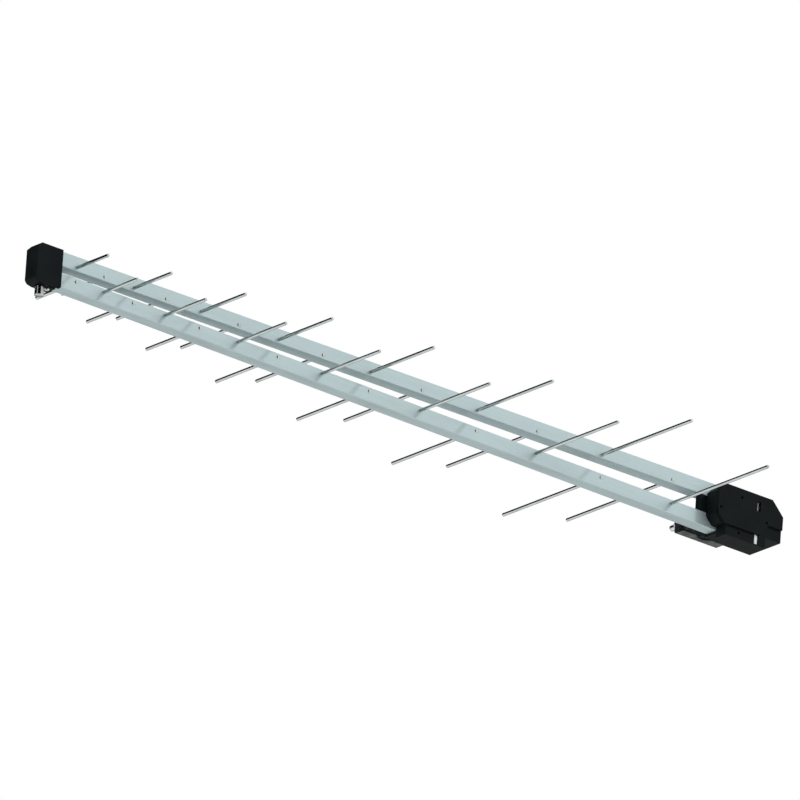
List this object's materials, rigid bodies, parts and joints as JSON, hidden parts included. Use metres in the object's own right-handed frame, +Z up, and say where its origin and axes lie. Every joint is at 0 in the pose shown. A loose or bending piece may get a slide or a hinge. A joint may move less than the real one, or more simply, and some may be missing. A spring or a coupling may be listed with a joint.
{
  "type": "log-periodic dipole antenna",
  "caption": "Twin-boom log-periodic dipole antenna for UHF reception, with a coaxial F socket at the front and a side clamp for a round mast at the rear.",
  "frame": {"origin": "axis of the mast that the clamp holds, level with the middle of the gap between the booms", "axes": "+X to the rear end (the antenna receives from -X), +Y from the booms to the clamp nuts, +Z up along the mast"},
  "size_m": [0.9324, 0.311, 0.0585],
  "materials": {
    "boom_aluminium": "satin extruded",
    "rod_aluminium": "drawn",
    "black_plastic": "fine satin moulding",
    "nickel_plate": "nickel plated",
    "white_insulator": "moulded",
    "contact_brass": "bright",
    "strap_steel": "tinned",
    "jaw_steel": "galvanised",
    "zinc_steel": "bright zinc"
  },
  "bodies": {
    "antenna": {"captive_nuts": "zinc_steel", "clamp_bolts": "zinc_steel", "cover_screw": "zinc_steel", "element_01_left": "rod_aluminium", "element_01_right": "rod_aluminium", "element_02_left": "rod_aluminium", "element_02_right": "rod_aluminium", "element_03_left": "rod_aluminium", "element_03_right": "rod_aluminium", "element_04_left": "rod_aluminium", "element_04_right": "rod_aluminium", "element_05_left": "rod_aluminium", "element_05_right": "rod_aluminium", "element_06_left": "rod_aluminium", "element_06_right": "rod_aluminium", "element_07_left": "rod_aluminium", "element_07_right": "rod_aluminium", "element_08_left": "rod_aluminium", "element_08_right": "rod_aluminium", "element_09_left": "rod_aluminium", "element_09_right": "rod_aluminium", "element_10_left": "rod_aluminium", "element_10_right": "rod_aluminium", "element_11_left": "rod_aluminium", "element_11_right": "rod_aluminium", "element_12_left": "rod_aluminium", "element_12_right": "rod_aluminium", "element_13_left": "rod_aluminium", "element_13_right": "rod_aluminium", "element_14_left": "rod_aluminium", "element_14_right": "rod_aluminium", "f_connector_body": "nickel_plate", "f_connector_contact": "contact_brass", "f_connector_insulator": "white_insulator", "feed_cover": "black_plastic", "feed_screw": "zinc_steel", "feed_strap": "strap_steel", "ground_strap": "strap_steel", "housing_left": "black_plastic", "housing_right": "black_plastic", "housing_screws": "zinc_steel", "lower_boom": "boom_aluminium", "shorting_plate": "strap_steel", "upper_boom": "boom_aluminium"},
    "clamp_jaw": {"clamp_jaw": "jaw_steel", "clamp_washers": "zinc_steel"},
    "clamp_nut_front": {"clamp_nut_front": "zinc_steel"},
    "clamp_nut_rear": {"clamp_nut_rear": "zinc_steel"}
  },
  "joints": [
    {"name": "jaw_slide", "type": "slide", "parent": "antenna", "child": "clamp_jaw", "axis": [0, 1, 0], "range_m": [-0.015, 0.01]},
    {"name": "nut_front_spin", "type": "hinge", "parent": "clamp_jaw", "child": "clamp_nut_front", "pos_m": [-0.0176, 0.02585, 0], "axis": [0, 1, 0], "range_deg": [-5402, 3602]},
    {"name": "nut_rear_spin", "type": "hinge", "parent": "clamp_jaw", "child": "clamp_nut_rear", "pos_m": [0.0176, 0.02585, 0], "axis": [0, 1, 0], "range_deg": [-5402, 3602]}
  ],
  "couplings": [
    {"joint": "nut_front_spin", "follows": "jaw_slide", "rad_per_m": 6283.2},
    {"joint": "nut_rear_spin", "follows": "jaw_slide", "rad_per_m": 6283.2}
  ]
}
